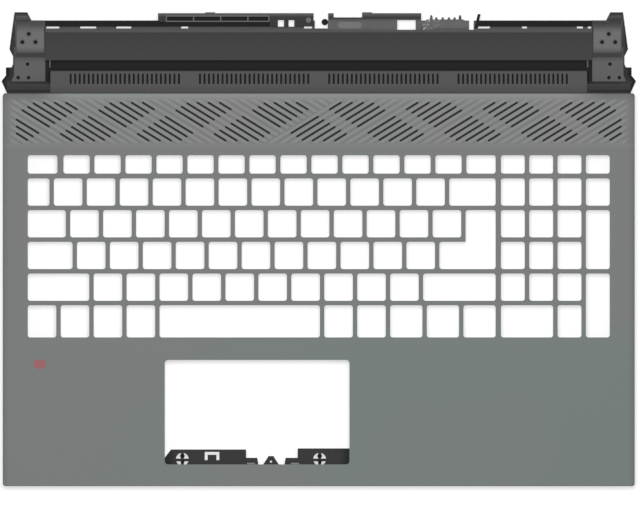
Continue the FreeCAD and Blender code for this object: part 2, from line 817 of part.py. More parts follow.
def make_shelf():
    """The vented shelf, the hinge channel, the sloping panel and its lip, as one moulding."""
    body = new_body("rear_shelf")
    wall = "shelf_wall"
    low = f"channel_floor - {wall}"
    ledge_low = "ledge_top - ledge_wall"

    shelf = new_sketch(body, "shelf_section", "0", role="YZ_Plane")
    polygon(
        shelf,
        [
            ("deck_rear + shelf_bevel", "shelf_top"), ("deck_rear", "shelf_top - shelf_bevel"),
            ("deck_rear", "deck_under"), ("deck_rear - flange_width", "deck_under"),
            ("deck_rear - flange_width", "deck_under - flange_wall"),
            ("deck_rear + shelf_wall", "deck_under - flange_wall"),
            ("deck_rear + shelf_wall", "shelf_under"),
            (f"shelf_rear - {wall}", "shelf_under"), (f"shelf_rear - {wall}", low),
            (f"panel_front + {wall}", low), (f"panel_front + {wall}", "channel_floor"),
            ("shelf_rear", "channel_floor"), ("shelf_rear", "shelf_top"),
        ],
    )
    pad(body, shelf, "2 * shelf_half", midplane=True)
    top, rear = value("shelf_top"), value("shelf_rear")
    fillet(body, "shelf_round", lambda edge: level(edge, top) and abs(edge.BoundBox.YMin - rear) < 1e-6)

    panel = new_sketch(body, "panel_section", "0", role="YZ_Plane")
    polygon(
        panel,
        [
            ("panel_front", low), ("panel_front", "panel_front_height"),
            ("panel_rear", "panel_rear_height"), ("panel_rear", "lip_height"),
            ("lip_rear", "lip_height"), ("lip_rear", f"lip_height - {wall}"),
            ("lip_wall_rear", f"lip_height - {wall}"), ("lip_wall_rear", "ledge_top"),
            ("ledge_rear", "ledge_top"), ("ledge_rear", ledge_low),
            (f"lip_wall_rear - {wall}", ledge_low),
            (f"lip_wall_rear - {wall}", f"panel_rear_height - {wall}"),
            (f"panel_front + {wall}", f"panel_front_height - {wall}"),
            (f"panel_front + {wall}", low),
        ],
    )
    pad(body, panel, "2 * panel_half", midplane=True)

    slits = new_sketch(body, "rear_slits", "ledge_top")
    for left, right in REAR_SLITS:
        rectangle(slits, left, "lip_wall_rear", right, "rail_front")
    pocket(body, slits, "ledge_wall")
    bay = new_sketch(body, "port_bay", "lip_height")
    rectangle(bay, "centre_port_start - port_clearance", "lip_wall_rear", FINGER_GAP[1], "lip_rear")
    pocket(body, bay, "lip_height - ledge_top")
    windows = new_sketch(body, "ledge_windows", "ledge_top")
    for left, right in LEFT_PORT_WINDOWS:
        rectangle(windows, left, "rail_front", right, "ledge_rear")
    for left, right in (CENTRE_PORT_WINDOW, PORT_GAP, FINGER_GAP):
        rectangle(windows, left, "lip_wall_rear", right, "ledge_rear")
    pocket(body, windows, "ledge_wall")
    notches = new_sketch(body, "lip_notches", "lip_height")
    for left, right in LIP_NOTCHES:
        rectangle(notches, left, f"lip_rear - {NOTCH_WIDTH}", right, "lip_rear")
    pocket(body, notches, str(NOTCH_DEPTH))
    holes = new_sketch(body, "ledge_screw_holes", "ledge_top")
    for x, y in ledge_screw_places():
        circle(holes, x, y, "screw_radius + screw_clearance")
    pocket(body, holes, "ledge_wall")
    flange_holes = new_sketch(body, "flange_screw_holes", "deck_under")
    for x in SHELF_SCREWS:
        for side in (-1, 1):
            circle(flange_holes, f"{side} * ({x})", "screw_line", "screw_radius + screw_clearance")
    pocket(body, flange_holes, "flange_wall")

    slots = new_sketch(body, "shelf_slot", "shelf_top")
    centre = (
        f"-{(SHELF_GROUPS - 1) / 2} * shelf_group_pitch - {(SHELF_SLOTS - 1) / 2} * shelf_slot_pitch"
    )
    half = "shelf_slot_width / 2"
    slot(slots, (centre, f"shelf_rear - shelf_slot_rear - shelf_slot_length + {half}"),
         (centre, f"shelf_rear - shelf_slot_rear - {half}"), half)
    cut = pocket(body, slots, "shelf_wall + cutter_spare")
    groups = body.newObject("PartDesign::MultiTransform", "shelf_slots")
    groups.Originals = [cut]
    steps = []
    for name, count, pitch in (
        ("shelf_slot_run", SHELF_SLOTS, "shelf_slot_pitch"),
        ("shelf_slot_groups", SHELF_GROUPS, "shelf_group_pitch"),
    ):
        step = doc.addObject("PartDesign::LinearPattern", name)
        body.addObject(step)
        spread(step, body, "X_Axis", count, pitch)
        steps.append(step)
    groups.Transformations = steps
    body.Tip = groups
    return body


def ledge_screw_places():
    rails = [(f"{side} * ({x})", "ledge_screw_line") for side in (-1, 1) for x in RAIL_SCREWS]
    return rails + [(x, "ledge_screw_line") for x in LEFT_PORT_SCREWS + CENTRE_PORT_SCREWS]


def make_tower(label, side):
    """A hinge tower: an outer skirt that leans in to two stepped pads, and a sloping front wall."""

    def at(inset, behind):
        return (f"{side} * (deck_half - ({inset}))", f"deck_rear + {behind}")

    body = new_body(label)
    channel_end = "shelf_depth + channel_width"
    outline = [
        at("shelf_inset", "0"), at("tower_foot_in", "0"), at("-tower_bulge", "tower_bulge_at"),
        at("tower_cheek_in", "tower_cheek_front"), at("tower_cheek_in", "tower_cheek_rear"),
        at("tower_notch_in", "tower_notch_at"), at("tower_waist_in", "tower_waist_front"),
        at("tower_waist_in", "tower_waist_rear"), at("tower_shoulder_in", "tower_shoulder_at"),
        at("tower_peak_out", "tower_depth"),
        at("tower_peak_in", "tower_depth"), at("tower_tail_in", "tower_tail_at"),
        at("panel_inset", "tower_tail_at"), at("panel_inset", channel_end),
        at("shelf_inset", channel_end),
    ]
    base = new_sketch(body, label + "_foot", "0")
    polygon(base, outline)
    pad(body, base, "tower_base")

    skirt_low = new_sketch(body, label + "_skirt_low", "tower_base")
    polygon(skirt_low, outline[1:12] + [at("panel_inset", "tower_tail_at"), at("panel_inset", "0")])
    skirt_top = new_sketch(body, label + "_skirt_top", "lower_pad_height")
    polygon(
        skirt_top,
        [
            at("lower_pad_out - tower_draft", "0"), at("lower_pad_out - tower_draft", "tower_bulge_at"),
            at("lower_pad_out", "tower_cheek_front"), at("lower_pad_out", "tower_cheek_rear"),
            at("lower_pad_out + tower_taper / 2", "tower_notch_at + tower_notch_shift"),
            at("lower_pad_out + tower_taper", "tower_waist_front"),
            at("lower_pad_out + tower_taper", "tower_waist_rear"),
            at("upper_pad_out - 2 * tower_taper", "tower_shoulder_at"),
            at("upper_pad_out + tower_taper", "tower_depth - tower_peak_slope"),
            at("tower_peak_in - tower_taper", "tower_depth - tower_peak_slope"),
            at("tower_tail_in", "tower_tail_at"),
            at("panel_inset", "tower_tail_at"), at("panel_inset", "0"),
        ],
    )
    skirt = body.newObject("PartDesign::AdditiveLoft", label + "_skirt")
    skirt.Profile = skirt_low
    skirt.Sections = [skirt_top]
    skirt.Ruled = True

    block_low = new_sketch(body, label + "_block_low", "lower_pad_height")
    polygon(
        block_low,
        [
            at("upper_pad_out - tower_taper", "upper_pad_front - tower_step + tower_draft"),
            at("panel_inset", "upper_pad_front - tower_step + tower_draft"),
            at("panel_inset", "tower_tail_at"), at("upper_pad_out - tower_taper", "tower_tail_at"),
        ],
    )
    block_top = new_sketch(body, label + "_block_top", "upper_pad_height")
    polygon(
        block_top,
        [
            at("upper_pad_out", "upper_pad_front + tower_draft"),
            at("panel_inset", "upper_pad_front + tower_draft"),
            at("panel_inset", "upper_pad_rear"), at("upper_pad_out", "upper_pad_rear"),
        ],
    )
    block = body.newObject("PartDesign::AdditiveLoft", label + "_block")
    block.Profile = block_low
    block.Sections = [block_top]
    block.Ruled = True

    wall = new_sketch(body, label + "_front_wall", f"{side} * (deck_half - shelf_inset)", role="YZ_Plane")
    polygon(
        wall,
        [
            ("deck_rear", "tower_base"), ("deck_rear + lower_pad_front", "tower_base"),
            ("deck_rear + lower_pad_front", "lower_pad_height"),
            ("deck_rear + lower_pad_front - tower_rim_slope", "tower_rim - tower_rim_slope"),
            ("deck_rear + tower_front_lip", "tower_rim"),
            ("deck_rear", "tower_rim"),
        ],
    )
    front = pad(body, wall, "shelf_inset - tower_foot_in")
    front.Reversed = side < 0
    tab = new_sketch(body, label + "_tab", f"{side} * (deck_half - shelf_inset)", role="YZ_Plane")
    polygon(
        tab,
        [
            ("deck_rear - flange_width", "deck_under - flange_wall"),
            ("deck_rear + tower_front_lip", "deck_under - flange_wall"),
            ("deck_rear + tower_front_lip", "deck_under"),
            ("deck_rear - flange_width", "deck_under"),
        ],
    )
    tongue = pad(body, tab, "shelf_inset - side_wall - tower_tab_gap")
    tongue.Reversed = side < 0

    for name, inset, front_at, rear_at, height in (
        ("_lower_hollow", "lower_pad_out + hollow_inset", "tower_wall", f"{channel_end} - tower_wall",
         "lower_pad_height"),
        ("_upper_hollow", "upper_pad_out", "upper_pad_front + tower_wall", "upper_pad_rear - tower_wall",
         "upper_pad_height"),
    ):
        hollow = new_sketch(body, label + name, "0")
        polygon(
            hollow,
            [at(inset, front_at), at("panel_inset - tower_wall", front_at),
             at("panel_inset - tower_wall", rear_at), at(inset, rear_at)],
        )
        pocket(body, hollow, f"{height} - tower_wall", upward=True)
    step = new_sketch(body, label + "_rear_step", "upper_pad_height")
    polygon(
        step,
        [
            at("panel_inset", "upper_pad_rear - tower_tail_step"),
            at("tower_tail_in", "upper_pad_rear - tower_tail_step"),
            at("tower_tail_in", "tower_tail_at"), at("panel_inset", "tower_tail_at"),
        ],
    )
    pocket(body, step, "upper_pad_height - ledge_top - rail_height")
    upper, rear = value("upper_pad_height"), value("deck_rear + upper_pad_rear - tower_tail_step")
    fillet(body, "pad_round", lambda edge: level(edge, upper) and edge.BoundBox.YMin < rear - 1e-6)
    upright = new_sketch(body, label + "_upright", "tower_base")
    polygon(
        upright,
        [
            at(inset, behind)
            for inset, behind in (
                ("shelf_inset", f"{channel_end} - upright_depth"),
                ("shelf_inset - upright_width", f"{channel_end} - upright_depth"),
                ("shelf_inset - upright_width", channel_end), ("shelf_inset", channel_end),
            )
        ],
    )
    pad(body, upright, "upright_height")
    bosses = new_sketch(body, label + "_bosses", "boss_foot")
    seats = []
    for holes, height in ((UPPER_HINGE_HOLES, "upper_pad_height"), (LOWER_HINGE_HOLES, "lower_pad_height")):
        sketch = new_sketch(body, f"{label}_{height}_seats", height)
        for inset, behind in holes:
            circle(bosses, *at(inset, behind), "hinge_boss_radius")
            circle(sketch, *at(inset, behind), "insert_radius")
        seats.append(sketch)
    pad(body, bosses, "lower_pad_height - tower_wall / 2 - boss_foot")
    upper_bosses = new_sketch(body, label + "_upper_bosses", "lower_pad_height - tower_wall")
    for inset, behind in UPPER_HINGE_HOLES:
        circle(upper_bosses, *at(inset, behind), "hinge_boss_radius")
    pad(body, upper_bosses, "upper_pad_height - lower_pad_height + tower_wall / 2")
    for sketch in seats:
        pocket(body, sketch, "insert_depth")
    tab_holes = new_sketch(body, label + "_tab_holes", "deck_under")
    for x in TOWER_SCREWS:
        circle(tab_holes, f"{side} * ({x})", "screw_line", "screw_radius + screw_clearance")
    pocket(body, tab_holes, "flange_wall")
    return body


def make_rail(label, side):
    """A black rail along the rear ledge; the right one ends in a slanted upright fin."""
    body = new_body(label)
    near, far = f"{side} * rail_inner", f"{side} * panel_half"
    rail = new_sketch(body, label + "_bar", "ledge_top")
    rear = "rail_front + rail_depth"
    polygon(rail, [(near, "rail_front"), (far, "rail_front"), (far, rear), (near, rear)])
    pad(body, rail, "rail_height")
    groove = new_sketch(body, label + "_groove", "ledge_top + rail_height")
    start, stop = f"{near} + {side} * rail_groove_end", f"{far} - {side} * rail_groove_end"
    front = "rail_front + rail_groove_at"
    polygon(groove, [(start, front), (stop, front), (stop, f"{front} + rail_groove"),
                     (start, f"{front} + rail_groove")])
    pocket(body, groove, "rail_groove")
    holes = new_sketch(body, label + "_pilots", "ledge_top")
    for x in RAIL_SCREWS:
        circle(holes, f"{side} * ({x})", "ledge_screw_line", "screw_radius")
    pocket(body, holes, "screw_grip", upward=True)
    if side > 0:
        fin = new_sketch(body, label + "_fin", "ledge_top")
        foot, tip = "rail_front - fin_foot", "port_rear - port_tab"
        polygon(fin, [(f"{near} - fin_width", foot), (f"{near} + fin_overlap", foot),
                      (f"{near} + fin_lean", tip), (f"{near} + fin_lean - fin_width", tip)])
        pad(body, fin, "rail_height")
    return body


def port_pilots(body, places):
    """Blind screw holes in the foot of a port frame."""
    holes = new_sketch(body, body.Label + "_pilots", "ledge_top")
    for x in places:
        circle(holes, x, "ledge_screw_line", "screw_radius")
    pocket(body, holes, "screw_grip", upward=True)


def make_port_frame_left():
    """A ladder of four rimmed bays, two see-through windows and an end post."""
    body = new_body("port_frame_left")
    top = "ledge_top + port_height"
    left, right, inner = "-left_port_start", "-left_port_stop", "-rail_inner + port_clearance"
    behind_rail = "rail_front + rail_depth + port_clearance"
    bar = new_sketch(body, "left_port_bar", "ledge_top")
    polygon(
        bar,
        [
            (inner, "rail_front"), (right, "rail_front"), (right, "port_rear"),
            ("-left_port_tab_stop", "port_rear"), ("-left_port_tab_stop", "port_rear + port_tab"),
            ("-left_port_tab_start", "port_rear + port_tab"), ("-left_port_tab_start", "port_rear"),
            (left, "port_rear"), (left, behind_rail), (inner, behind_rail),
        ],
    )
    pad(body, bar, "port_height")
    step = new_sketch(body, "left_port_step", top)
    rectangle(step, inner, "rail_front",
              "-ladder_stop + ladder_rib", "rail_front + ladder_front - ladder_rib")
    pocket(body, step, "left_port_step")
    rim = new_sketch(body, "ladder_rim", top)
    rectangle(rim, "-ladder_start - ladder_rib / 2", "rail_front + ladder_front - ladder_rib",
              "-ladder_stop + ladder_rib / 2", "rail_front + ladder_rear + ladder_rib")
    pad(body, rim, "ladder_rise")
    bays = new_sketch(body, "ladder_bays", f"{top} + ladder_rise")
    for bay in range(LADDER_BAYS):
        start = f"-ladder_start + {bay} * ladder_pitch"
        stop = f"-ladder_start + {bay + 1} * ladder_pitch" if bay < LADDER_BAYS - 1 else "-ladder_stop"
        rectangle(bays, f"{start} + ladder_rib / 2", "rail_front + ladder_front",
                  f"{stop} - ladder_rib / 2", "rail_front + ladder_rear")
    pocket(body, bays, "ladder_hollow")
    windows = new_sketch(body, "left_port_windows", top)
    for start, stop in LEFT_PORT_WINDOWS:
        rectangle(windows, start, "rail_front", stop, "port_mid")
    pocket(body, windows)
    port_pilots(body, LEFT_PORT_SCREWS)
    post = new_sketch(body, "left_port_post", top)
    circle(post, f"{right} - post_inset", "port_mid", "post_radius")
    pad(body, post, "ladder_rise")
    return body


def make_port_frame_centre():
    """A stepped frame in the lip's bay, with one large see-through window and an end knob."""
    body = new_body("port_frame_centre")
    top = "ledge_top + port_height"
    left, right = "centre_port_start", "centre_port_stop"
    frame = new_sketch(body, "centre_port_body", "ledge_top")
    rectangle(frame, left, "lip_wall_rear", right, "port_mid")
    pad(body, frame, "port_height - centre_port_drop")
    low = "port_rear - centre_port_low"
    bar = new_sketch(body, "centre_port_bar", "ledge_top")
    polygon(
        bar,
        [
            (left, "port_mid"), (right, "port_mid"), (right, "port_rear"),
            ("centre_port_tab_stop", "port_rear"), ("centre_port_tab_stop", "port_rear + port_tab"),
            ("centre_port_low_end", "port_rear + port_tab"), ("centre_port_low_end", low),
            ("centre_port_lug", low), ("centre_port_lug", "port_rear"), (left, "port_rear"),
        ],
    )
    pad(body, bar, "port_height")
    knob_x, knob_y = f"{left} - knob_radius - port_clearance", "ledge_screw_line + centre_port_drop"
    knob = new_sketch(body, "centre_port_knob", "ledge_top + knob_foot")
    circle(knob, knob_x, knob_y, "knob_radius")
    pad(body, knob, "knob_height")
    arm = new_sketch(body, "centre_port_arm", "ledge_top + knob_foot")
    rectangle(arm, knob_x, f"{knob_y} - arm_width / 2", f"{left} + arm_width", f"{knob_y} + arm_width / 2")
    pad(body, arm, "knob_height / 2")
    window = new_sketch(body, "centre_port_window", top)
    rectangle(window, CENTRE_PORT_WINDOW[0], "lip_wall_rear", CENTRE_PORT_WINDOW[1], "port_mid")
    pocket(body, window)
    dish = new_sketch(body, "centre_port_dish", top)
    dish_line = "lip_rear + dish_radius"
    slot(dish, ("dish_start", dish_line), ("dish_stop", dish_line), "dish_radius")
    pocket(body, dish, "dish_depth")
    port_pilots(body, CENTRE_PORT_SCREWS)
    return body


def make_ground_fingers():
    """A sheet-metal comb that earths the port shields, in the lip's bay."""
    body = new_body("ground_fingers")
    sheet = new_sketch(body, "finger_sheet_plan", "ledge_top")
    reach = "rail_front + finger_reach"
    shoulder = f"{reach} - finger_slope / 2"
    polygon(
        sheet,
        [
            ("finger_start", "lip_wall_rear"), ("finger_stop", "lip_wall_rear"),
            ("finger_stop", shoulder), ("finger_stop - finger_slope", reach),
            ("finger_start + finger_slope", reach), ("finger_start", shoulder),
        ],
    )
    pad(body, sheet, "finger_sheet")
    for name, places, rise in (
        ("tall_teeth", TALL_TEETH, "tall_tooth"), ("low_teeth", LOW_TEETH, "low_tooth"),
    ):
        teeth = new_sketch(body, name, "ledge_top")
        for x in places:
            polygon(
                teeth,
                [
                    (f"{x} - finger_tooth / 2", f"{reach} - finger_sheet"),
                    (f"{x} + finger_tooth / 2", f"{reach} - finger_sheet"),
                    (f"{x} + finger_tip / 2", f"{reach} + {rise}"),
                    (f"{x} - finger_tip / 2", f"{reach} + {rise}"),
                ],
            )
        pad(body, teeth, "2 * finger_sheet")
    crest = new_sketch(body, "finger_crest", "ledge_top")
    rectangle(crest, "finger_start + 2 * finger_slope", "lip_rear", "finger_stop - crest_width",
              "lip_rear + crest_width")
    pad(body, crest, "finger_sheet + crest_height")
    return body


def make_bracket():
    """The dark sheet bracket under the deck's front edge, which shows in the touchpad window."""
    body = new_body("touchpad_bracket")

    def station(x, y):
        return (f"window_left + {x}", f"window_front + {y}")

    plate = new_sketch(body, "bracket_plate", "bracket_under")
    inlet = "-bracket_inlet"
    outline = [
        ("-bracket_lap", "-bracket_hidden"), ("window_width + bracket_lap", "-bracket_hidden"),
        ("window_width + bracket_lap", "bracket_right_rise"), ("bracket_right_start", "bracket_right_rise"),
        ("bracket_right_start", "bracket_low_rise"), ("bracket_right_foot", "bracket_low_rise"),
        ("bracket_right_foot - bracket_draft", inlet), ("arch_middle + arch_foot / 2", inlet),
        ("arch_middle + arch_shoulder / 2", "arch_rise / 2"), ("arch_middle + arch_top / 2", "arch_rise"),
        ("arch_middle - arch_top / 2", "arch_rise"), ("arch_middle - arch_shoulder / 2", "arch_rise / 2"),
        ("arch_middle - arch_foot / 2", inlet), ("bracket_left_foot + bracket_draft", inlet),
        ("bracket_left_foot", "bracket_low_rise"), ("bracket_left_stop", "bracket_low_rise"),
        ("bracket_left_stop", "bracket_left_rise"),
        ("bracket_slant - bracket_lap", "bracket_left_rise"), ("-bracket_lap", "bracket_slant_foot"),
    ]
    polygon(plate, [station(x, y) for x, y in outline])
    pad(body, plate, "bracket_sheet")

    holes = new_sketch(body, "bracket_holes", "deck_under")
    for x in BRACKET_EYES:
        circle(holes, *station(x, "eye_rise"), "eye_radius")
    circle(holes, *station("arch_middle", "arch_rise / 2 - arch_bore_drop"), "arch_bore")
    pocket(body, holes)
    bars = new_sketch(body, "bracket_bars", "bracket_under")
    posts = new_sketch(body, "bracket_posts", "bracket_under")
    studs = new_sketch(body, "bracket_studs", "bracket_under")
    reach = "eye_radius + eye_lap"
    bar_line = "eye_rise - eye_bar_drop"
    for x in BRACKET_EYES:
        rectangle(bars, *station(f"{x} - ({reach})", f"{bar_line} - eye_bar / 2"),
                  *station(f"{x} + {reach}", f"{bar_line} + eye_bar / 2"))
        rectangle(posts, *station(f"{x} - eye_post / 2", f"eye_rise - ({reach})"),
                  *station(f"{x} + eye_post / 2", f"eye_rise + {reach}"))
        circle(studs, *station(x, "eye_rise + eye_radius / 2"), "eye_stud")
    for sketch in (bars, posts, studs):
        pad(body, sketch, "bracket_sheet")
    foam = new_sketch(body, "bracket_foam", "deck_under")
    for x in FOAM_PADS:
        rectangle(foam, *station(x, "port_clearance"), *station(f"{x} + foam_width", "foam_depth"))
    pad(body, foam, "foam_height")

    tongue = new_sketch(body, "bracket_tongue_slot", "deck_under")
    start, stop = "tongue_start", "tongue_start + tongue_width"
    inner = "tongue_rise - tongue_slit"
    polygon(
        tongue,
        [station(x, y) for x, y in (
            (start, "tongue_foot"), (f"{start} + tongue_slit", "tongue_foot"),
            (f"{start} + tongue_slit", inner), (f"{stop} - tongue_slit", inner),
            (f"{stop} - tongue_slit", "tongue_foot"), (stop, "tongue_foot"),
            (stop, "tongue_rise"), (start, "tongue_rise"))],
    )
    pocket(body, tongue)
    screw_holes = new_sketch(body, "bracket_screw_holes", "deck_under")
    for x, y in bracket_screw_places():
        circle(screw_holes, x, y, "screw_radius + screw_clearance")
    pocket(body, screw_holes)
    return body


def make_mesh(label, left, front, right, rear, under):
    """A fine dust mesh, glued flat under a row of vents."""
    body = new_body(label)
    sheet = new_sketch(body, label + "_sheet", f"{under} - mesh_thickness")
    rectangle(sheet, left, front, right, rear)
    pad(body, sheet, "mesh_thickness")
    return body


def make_inserts(label, groups):
    """Brass threaded inserts, each pressed into its own seat."""
    body = new_body(label)
    for number, (places, foot) in enumerate(groups):
        rings = new_sketch(body, f"{label}_rings_{number}", foot)
        for x, y in places:
            circle(rings, x, y, "insert_radius")
            circle(rings, x, y, "insert_bore")
        pad(body, rings, "insert_depth")
    return body


def make_screws(label, places, seat, sheet):
    """Small pan-head screws driven up through a sheet into the piece above it."""
    body = new_body(label)
    shanks = new_sketch(body, label + "_shanks", f"{seat} - ({sheet})")
    heads = new_sketch(body, label + "_heads", f"{seat} - ({sheet}) - screw_head")
    for x, y in places:
        circle(shanks, x, y, "screw_radius")
        circle(heads, x, y, "screw_head_radius")
    pad(body, shanks, f"{sheet} + screw_grip")
    pad(body, heads, "screw_head")
    return body


def hinge_places(side, holes):
    return [(f"{side} * (deck_half - {inset})", f"deck_rear + {behind}") for inset, behind in holes]


def make_all():
    bodies = [
        make_deck(),
        make_shelf(),
        make_port_frame_left(),
        make_port_frame_centre(),
        make_ground_fingers(),
        make_bracket(),
    ]
    mesh_front, mesh_rear = "vent_front - mesh_margin", "vent_rear + mesh_margin"
    mesh_edge = "vent_edge + mesh_margin"
    for name, side in (("left", -1), ("right", 1)):
        bodies.append(make_tower(f"hinge_tower_{name}", side))
        bodies.append(make_rail(f"rear_rail_{name}", side))
        ends = (f"-({mesh_edge})", "-mesh_joint / 2") if side < 0 else ("mesh_joint / 2", mesh_edge)
        bodies.append(make_mesh(f"vent_mesh_{name}", ends[0], mesh_front, ends[1], mesh_rear, "deck_under"))
        bodies.append(
            make_inserts(
                f"hinge_inserts_{name}",
                [
                    (hinge_places(side, UPPER_HINGE_HOLES), "upper_pad_height - insert_depth"),
                    (hinge_places(side, LOWER_HINGE_HOLES), "lower_pad_height - insert_depth"),
                ],
            )
        )
    slot_rear = "shelf_rear - shelf_slot_rear"
    bodies.append(
        make_mesh("shelf_mesh", "-shelf_half + shelf_mesh_inset",
                  f"{slot_rear} - shelf_slot_length - mesh_margin",
                  "shelf_half - shelf_mesh_inset", "shelf_rear - shelf_wall", "shelf_under")
    )
    bodies.append(make_inserts("cover_inserts", [(COVER_BOSSES, "boss_foot")]))
    bodies.append(make_inserts("board_inserts", [(BOARD_BOSSES, "deck_under - board_boss_height")]))
    shelf_places = [(f"{side} * ({x})", "screw_line") for side in (-1, 1) for x in SHELF_SCREWS]
    tower_places = [(f"{side} * ({x})", "screw_line") for side in (-1, 1) for x in TOWER_SCREWS]
    bodies.append(make_screws("shelf_screws", shelf_places, "deck_under", "flange_wall"))
    bodies.append(make_screws("tower_screws", tower_places, "deck_under", "flange_wall"))
    bodies.append(make_screws("bracket_screws", bracket_screw_places(), "deck_under", "bracket_sheet"))
    bodies.append(make_screws("ledge_screws", ledge_screw_places(), "ledge_top", "ledge_wall"))
    return bodies


def check_and_export(bodies):
    doc.recompute()
    for item in doc.Objects:
        if "Invalid" in item.State or "Error" in item.State:
            raise SystemExit(f"{item.Name} failed: {item.State}")
        if item.TypeId == "PartDesign::Pocket":
            if item.Shape.Volume > item.BaseFeature.Shape.Volume - 1e-6:
                raise SystemExit(f"{item.Name} cuts nothing")
    os.makedirs("parts", exist_ok=True)
    for body in bodies:
        if body.Shape.isNull() or not body.Shape.isValid():
            raise SystemExit(f"{body.Label} has no valid shape")
    for body in bodies:
        body.Shape.exportStep(f"parts/{body.Label}.step")
        box = body.Shape.BoundBox
        print(f"{body.Label}: {len(body.Shape.Solids)} solids, {body.Shape.Volume:.0f} mm3, "
              f"{box.XLength:.1f} x {box.YLength:.1f} x {box.ZLength:.1f} mm")


check_and_export(make_all())
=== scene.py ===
import json
import math

import bpy
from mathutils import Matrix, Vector


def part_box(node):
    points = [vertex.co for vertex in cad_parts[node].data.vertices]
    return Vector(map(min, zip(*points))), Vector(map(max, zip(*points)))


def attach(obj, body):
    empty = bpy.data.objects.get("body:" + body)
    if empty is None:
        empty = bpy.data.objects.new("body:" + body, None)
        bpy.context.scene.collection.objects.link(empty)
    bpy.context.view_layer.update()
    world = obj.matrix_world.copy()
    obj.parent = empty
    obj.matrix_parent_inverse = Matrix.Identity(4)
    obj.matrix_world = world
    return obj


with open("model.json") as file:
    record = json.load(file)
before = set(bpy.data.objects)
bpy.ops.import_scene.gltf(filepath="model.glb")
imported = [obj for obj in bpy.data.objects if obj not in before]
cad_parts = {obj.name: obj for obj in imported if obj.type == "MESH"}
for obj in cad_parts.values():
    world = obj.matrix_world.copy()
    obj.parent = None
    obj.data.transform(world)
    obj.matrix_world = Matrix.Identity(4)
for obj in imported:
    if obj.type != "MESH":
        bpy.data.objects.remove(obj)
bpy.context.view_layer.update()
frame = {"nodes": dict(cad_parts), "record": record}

MM = 0.001

# The camera looks straight down, from so far off that the view is nearly parallel
PICTURE_WIDTH = 0.3603
PICTURE_CENTRE = (0.0007, -0.00335)
LENS = 1000.0
SENSOR = 36.0
FLOOR_SIDE = 4.0

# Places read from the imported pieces, in metres
DECK_LOW, DECK_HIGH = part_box("deck_cover")
DECK_REAR = DECK_HIGH.y
DECK_TOP = DECK_HIGH.z
MESH_LOW, MESH_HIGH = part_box("vent_mesh_right")
VENT_FRONT = MESH_LOW.y + 1.0 * MM
VENT_REAR = MESH_HIGH.y - 1.0 * MM

BRACKET_LOW, BRACKET_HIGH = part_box("touchpad_bracket")
CENTRE_LOW, CENTRE_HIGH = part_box("port_frame_centre")

VENT_ANGLE = math.radians(31.6)
VENT_PERIOD = 43.3 * MM
VENT_LINE = VENT_FRONT + 14.0 * MM
STRIPES_PER_PERIOD = 7
VENT_TURN = VENT_FRONT + 11.0 * MM
SHELF_DEPTH = 12.9 * MM
CHANNEL_WIDTH = 5.7 * MM
LIP_FRONT = DECK_REAR + 34.3 * MM

# A plain red bar printed on the palm rest, at the left below the keys
MARK_PLACE = (-157.1 * MM, -64.85 * MM)
MARK_HALF_LENGTH = 3.6 * MM
MARK_RADIUS = 2.6 * MM

# The middles of the rubber buttons on the touchpad bracket
EYE_MIDDLES = (-76.7 * MM, 0.6 * MM)
EYE_BUTTON_LINES = (BRACKET_HIGH.y - 4.2 * MM, BRACKET_HIGH.y - 7.5 * MM)


def srgb(red, green, blue):
    """A colour in 0 to 255 display values, as the linear numbers of a shader."""

    def linear(level):
        level /= 255.0
        return level / 12.92 if level <= 0.04045 else ((level + 0.055) / 1.055) ** 2.4

    return (linear(red), linear(green), linear(blue), 1.0)


class Tree:
    """A node tree being wired up: numbers, colours or sockets go in, sockets come out."""

    def __init__(self, tree):
        self.tree = tree

    def feed(self, socket, value):
        if isinstance(value, bpy.types.NodeSocket):
            self.tree.links.new(value, socket)
        else:
            socket.default_value = value

    def add(self, kind, inputs=(), out=0, **settings):
        node = self.tree.nodes.new("ShaderNode" + kind)
        for name, value in settings.items():
            setattr(node, name, value)
        for name, value in dict(inputs).items():
            self.feed(node.inputs[name], value)
        return node.outputs[out]

    def math(self, operation, first, second=0.0, clamp=False):
        return self.add("Math", {0: first, 1: second}, operation=operation, use_clamp=clamp)

    def ramp(self, value, low, high):
        """0 below low and 1 above high, smoothly between; low may be above high."""
        return self.add(
            "MapRange", {"Value": value, "From Min": low, "From Max": high}, interpolation_type="SMOOTHSTEP"
        )

    def mix(self, factor, first, second):
        return self.add("Mix", {0: factor, 6: first, 7: second}, out=2, data_type="RGBA")

    def scale(self, colour, factor):
        """A colour made lighter or darker by a value."""
        return self.add(
            "Mix", {0: 1.0, 6: colour, 7: self.add("CombineColor", {0: factor, 1: factor, 2: factor})},
            out=2, data_type="RGBA", blend_type="MULTIPLY",
        )

    def noise(self, vector, scale, detail=2.0, roughness=0.5):
        return self.add(
            "TexNoise", {"Vector": vector, "Scale": scale, "Detail": detail, "Roughness": roughness}
        )


def new_group(name, inputs, outputs):
    """A shader group with named sockets; values only, so that it can be baked."""
    group = bpy.data.node_groups.new(name, "ShaderNodeTree")
    for label, kind, default in inputs:
        socket = group.interface.new_socket(label, in_out="INPUT", socket_type=kind)
        if default is not None:
            socket.default_value = default
    for label, kind in outputs:
        group.interface.new_socket(label, in_out="OUTPUT", socket_type=kind)
    source = group.nodes.new("NodeGroupInput")
    target = group.nodes.new("NodeGroupOutput")
    return group, Tree(group), source.outputs, target.inputs


